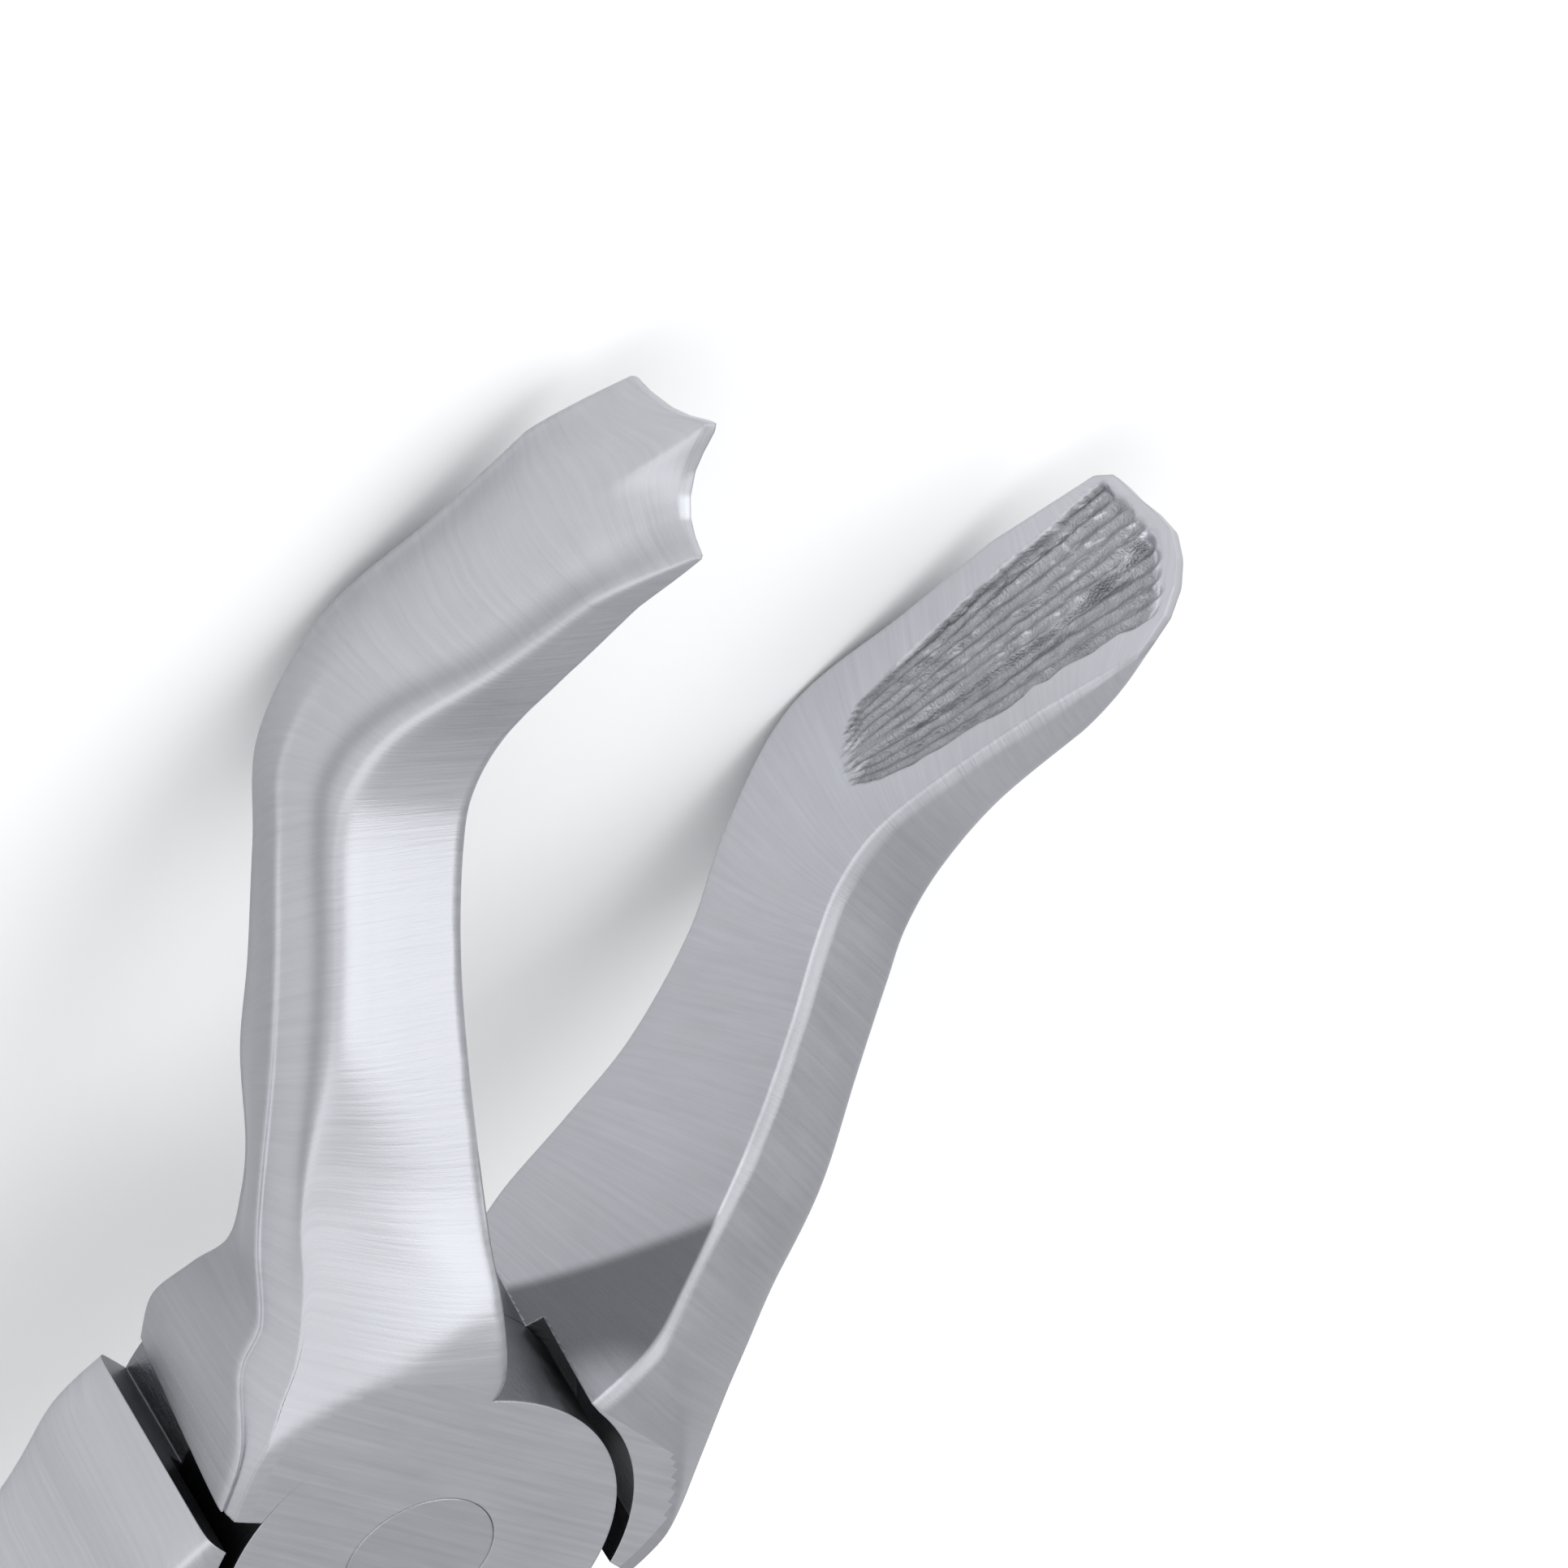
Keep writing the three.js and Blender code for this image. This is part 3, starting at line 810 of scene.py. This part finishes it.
def steel(name, color, rough, brush, lines_scale, on_bar=False, speckle=0.2):
    """Metal with brush lines, cloudy roughness, fine grain and worn edges; on the bar also painted shade in
    the hollow, and painted shade and highlights from its masks.
    """
    n = Nodes(name)
    place = object_place(n)
    lines = noise_at(n, bar_place(n) if on_bar else place, lines_scale)
    cloud = noise_at(n, place, (0.16, 0.16, 0.16), detail=3.0)
    grain = noise_at(n, place, (11.0, 11.0, 11.0), detail=2.0)
    line = stretch(n, lines, -0.5, 0.5)

    tone = times_plus(n, line, 0.13, stretch(n, cloud, 0.96, 1.04))
    roughness = times_plus(n, line, 0.09, stretch(n, cloud, rough - 0.03, rough + 0.04))
    height = times_plus(n, grain, speckle, lines)
    if on_bar:
        hollow = n.add("ShaderNodeAttribute", attribute_name="hollow").outputs["Fac"]
        painted_light_and_roughness = n.add("ShaderNodeAttribute", attribute_name="painted_light_and_roughness").outputs["Fac"]
        # Painted shade: the tone is darker in the toothed hollow. The second mask darkens it as painted
        # shade, or brightens it as painted highlight where below zero, and also roughens it.
        tone = times(n, tone, times_plus(n, hollow, -0.3, 1.0))
        tone = times(n, tone, times_plus(n, painted_light_and_roughness, -0.52, 1.0))
        roughness = times_plus(n, painted_light_and_roughness, 0.12, roughness)
        rougher = times_plus(n, painted_light_and_roughness, 0.5, speckle)
        height = times_plus(n, grain, times_plus(n, hollow, 3.0, rougher), lines)

    tint = n.add("ShaderNodeVectorMath", operation="SCALE")
    tint.inputs[0].default_value = color
    n.join(tone, tint.inputs["Scale"])
    worn_edge = n.add("ShaderNodeBevel", samples=4, Radius=0.12 * MM)
    bump = n.add("ShaderNodeBump", Strength=brush, Distance=0.03 * MM)
    n.join(height, bump.inputs["Height"])
    n.join(worn_edge.outputs["Normal"], bump.inputs["Normal"])
    shader = n.add("ShaderNodeBsdfPrincipled", Metallic=1.0)
    n.join(tint.outputs["Vector"], shader.inputs["Base Color"])
    n.join(roughness, shader.inputs["Roughness"])
    n.join(bump.outputs["Normal"], shader.inputs["Normal"])
    out = n.add("ShaderNodeOutputMaterial")
    n.join(shader.outputs["BSDF"], out.inputs["Surface"])
    return n.material


SATIN = (0.465, 0.47, 0.5)
LINES_ALONG_X = (0.16, 4.5, 1.0)
LINES_ACROSS_BAR = (4.5, 0.16, 1.0)
satin = steel("satin_steel", SATIN, 0.47, 0.6, LINES_ACROSS_BAR, on_bar=True)
faced = steel("faced_steel", SATIN, 0.38, 0.45, LINES_ALONG_X)
riveted = steel("rivet_steel", (0.43, 0.435, 0.465), 0.32, 0.4, LINES_ALONG_X)
# Machine-cut steel for the walls, lap and ends inside the joint, much darker than the satin; the darkness is
# painted shade.
machined_and_shaded = steel("machined_shaded_steel", (0.2, 0.205, 0.22), 0.34, 0.9, (0.6, 5.0, 0.7), speckle=0.5)
# Near-black steel that is painted shadow deep in the gap between the halves.
shadow_painted = steel("shadow_painted_steel", (0.02, 0.02, 0.024), 0.5, 0.8, (0.5, 0.5, 5.0), speckle=0.5)


# ---- pieces ----


def make_rivet():
    """The rivet, flush with both joint faces."""
    rivet = lathe("rivet_steel_piece", rivet_profile(0.0, 0.0))
    rivet.data.materials.append(riveted)
    rivet.data.transform(Matrix.Translation(PIVOT) @ Matrix.Scale(MM, 4))
    rivet.data.shade_smooth()
    rivet.data.set_sharp_from_angle(angle=math.radians(30))
    return rivet


front = make_half("front_half_steel", True, POINTED_TIP, ear_trim=0.0, start_row=0.05, shortened=1.22)
rear = make_half("rear_half_steel", False, ROUND_TIP, ear_trim=0.03, start_row=0.85, shortened=1.0)
rivet = make_rivet()
for piece, body, node, slot in (
    (front, "front_side", "front_half", "satin_steel"),
    (rear, "rear_side", "rear_half", "satin_steel"),
    (rivet, "rear_side", "pivot_rivet", "rivet_steel"),
):
    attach(piece, body)
    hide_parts(node)


# ---- floor and light ----

FLOOR_Z = -0.0003


def make_floor():
    """Large pale floor, just under the lowest point of the forceps."""
    bm = bmesh.new()
    bmesh.ops.create_grid(bm, x_segments=1, y_segments=1, size=6.0)
    mesh = bpy.data.meshes.new("floor")
    bm.to_mesh(mesh)
    bm.free()
    floor = bpy.data.objects.new("floor", mesh)
    floor.location.z = FLOOR_Z
    bpy.context.scene.collection.objects.link(floor)
    n = Nodes("pale_floor")
    shader = n.add("ShaderNodeBsdfPrincipled", Roughness=0.9)
    shader.inputs["Base Color"].default_value = (0.93, 0.93, 0.93, 1)
    shader.inputs["Specular IOR Level"].default_value = 0.1
    out = n.add("ShaderNodeOutputMaterial")
    n.join(shader.outputs["BSDF"], out.inputs["Surface"])
    floor.data.materials.append(n.material)


def softbox(name, direction, distance, size, power):
    """White area light that looks at the forceps from a direction."""
    data = bpy.data.lights.new(name, "AREA")
    data.shape = "RECTANGLE"
    data.size, data.size_y = size
    data.energy = power
    light = bpy.data.objects.new(name, data)
    aim = Vector(direction).normalized()
    toward_beaks = Vector((0, 0.02, 0))
    light.location = PIVOT + toward_beaks + aim * distance
    light.rotation_euler = aim.to_track_quat("Z", "Y").to_euler()
    light.visible_camera = False
    bpy.context.scene.collection.objects.link(light)


def make_world(left, right):
    """Even pale surroundings, with one strength toward -X and another toward +X."""
    world = bpy.data.worlds.new("studio")
    bpy.context.scene.world = world
    world.use_nodes = True
    tree = world.node_tree
    background = tree.nodes["Background"]
    background.inputs["Color"].default_value = (0.98, 0.99, 1.0, 1)
    place = tree.nodes.new("ShaderNodeTexCoord")
    split = tree.nodes.new("ShaderNodeSeparateXYZ")
    fade = tree.nodes.new("ShaderNodeMapRange")
    fade.inputs["From Min"].default_value = -1.0
    fade.inputs["To Min"].default_value = left
    fade.inputs["To Max"].default_value = right
    tree.links.new(place.outputs["Generated"], split.inputs["Vector"])
    tree.links.new(split.outputs["X"], fade.inputs["Value"])
    tree.links.new(fade.outputs["Result"], background.inputs["Strength"])


bpy.context.scene.view_settings.view_transform = "Standard"
make_floor()
softbox("key", (0.17, 0.75, 0.64), 0.8, (0.8, 0.66), 2.9)
softbox("fill", (-0.7, -0.2, 0.9), 0.9, (0.9, 0.9), 2.0)
make_world(1.06, 0.70)
